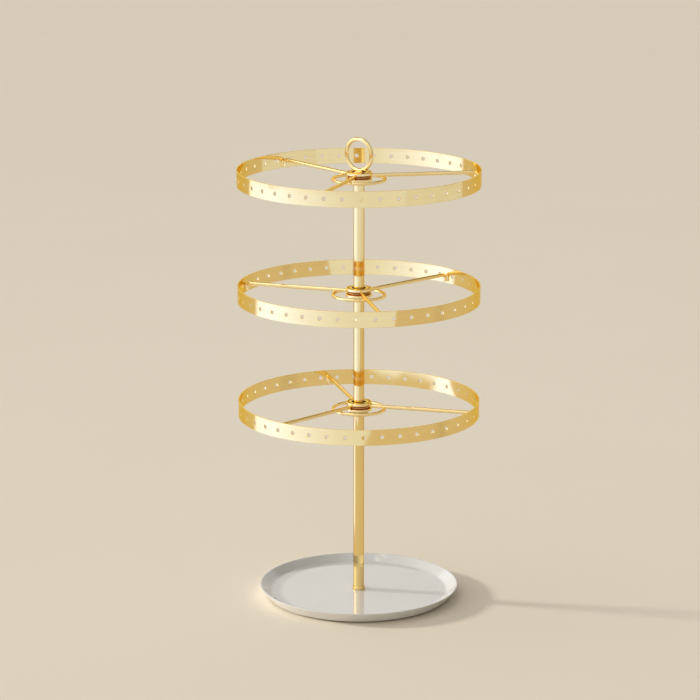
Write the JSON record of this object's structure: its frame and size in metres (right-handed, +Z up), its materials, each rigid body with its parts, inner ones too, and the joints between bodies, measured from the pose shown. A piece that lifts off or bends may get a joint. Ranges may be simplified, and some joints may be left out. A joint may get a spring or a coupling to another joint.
{
  "type": "earring stand",
  "caption": "Revolving earring carousel: perforated gold hoops turn in tiers about a central pole, over a shallow white dish, with a ring finial.",
  "frame": {"origin": "centre of the footprint, on the table the stand rests on", "axes": "+Z up the pole, -Y towards the viewer, +X to the viewer's right"},
  "size_m": [0.18, 0.18, 0.3507],
  "materials": {
    "gold_metal": "polished",
    "white_enamel": "gloss",
    "black_nylon": "satin",
    "black_steel": "satin",
    "steel": "satin",
    "foot_rubber": "matt"
  },
  "bodies": {
    "stand": {"foot_pad": "foot_rubber", "tray": "white_enamel", "base_screw": "steel", "foot_collar": "gold_metal", "pole_lower": "gold_metal", "lower_pole_bottom_insert": "steel", "lower_pole_top_insert": "steel", "pole_middle": "gold_metal", "middle_pole_bottom_insert": "steel", "middle_pole_top_insert": "steel", "pole_upper": "gold_metal", "upper_pole_bottom_insert": "steel", "upper_pole_top_insert": "steel", "lower_rest_washer": "steel", "lower_stud": "steel", "lower_retaining_clip": "black_steel", "middle_rest_washer": "steel", "middle_stud": "steel", "middle_retaining_clip": "black_steel", "top_rest_washer": "steel", "top_stud": "steel", "top_retaining_clip": "black_steel", "finial_post": "gold_metal", "finial_ring": "gold_metal"},
    "lower_tier": {"lower_hub": "gold_metal", "lower_bush": "black_nylon", "lower_spoke_1": "gold_metal", "lower_spoke_2": "gold_metal", "lower_spoke_3": "gold_metal", "lower_stiffening_ring": "gold_metal", "lower_hoop": "gold_metal"},
    "middle_tier": {"middle_hub": "gold_metal", "middle_bush": "black_nylon", "middle_spoke_1": "gold_metal", "middle_spoke_2": "gold_metal", "middle_spoke_3": "gold_metal", "middle_stiffening_ring": "gold_metal", "middle_hoop": "gold_metal"},
    "top_tier": {"top_hub": "gold_metal", "top_bush": "black_nylon", "top_spoke_1": "gold_metal", "top_spoke_2": "gold_metal", "top_spoke_3": "gold_metal", "top_stiffening_ring": "gold_metal", "top_hoop": "gold_metal"}
  },
  "joints": [
    {"name": "lower_tier_turn", "type": "hinge", "parent": "stand", "child": "lower_tier", "pos_m": [0, 0, 0.1437], "axis": [0, 0, 1], "continuous": true},
    {"name": "middle_tier_turn", "type": "hinge", "parent": "stand", "child": "middle_tier", "pos_m": [0, 0, 0.2307], "axis": [0, 0, 1], "continuous": true},
    {"name": "top_tier_turn", "type": "hinge", "parent": "stand", "child": "top_tier", "pos_m": [0, 0, 0.3177], "axis": [0, 0, 1], "continuous": true}
  ]
}
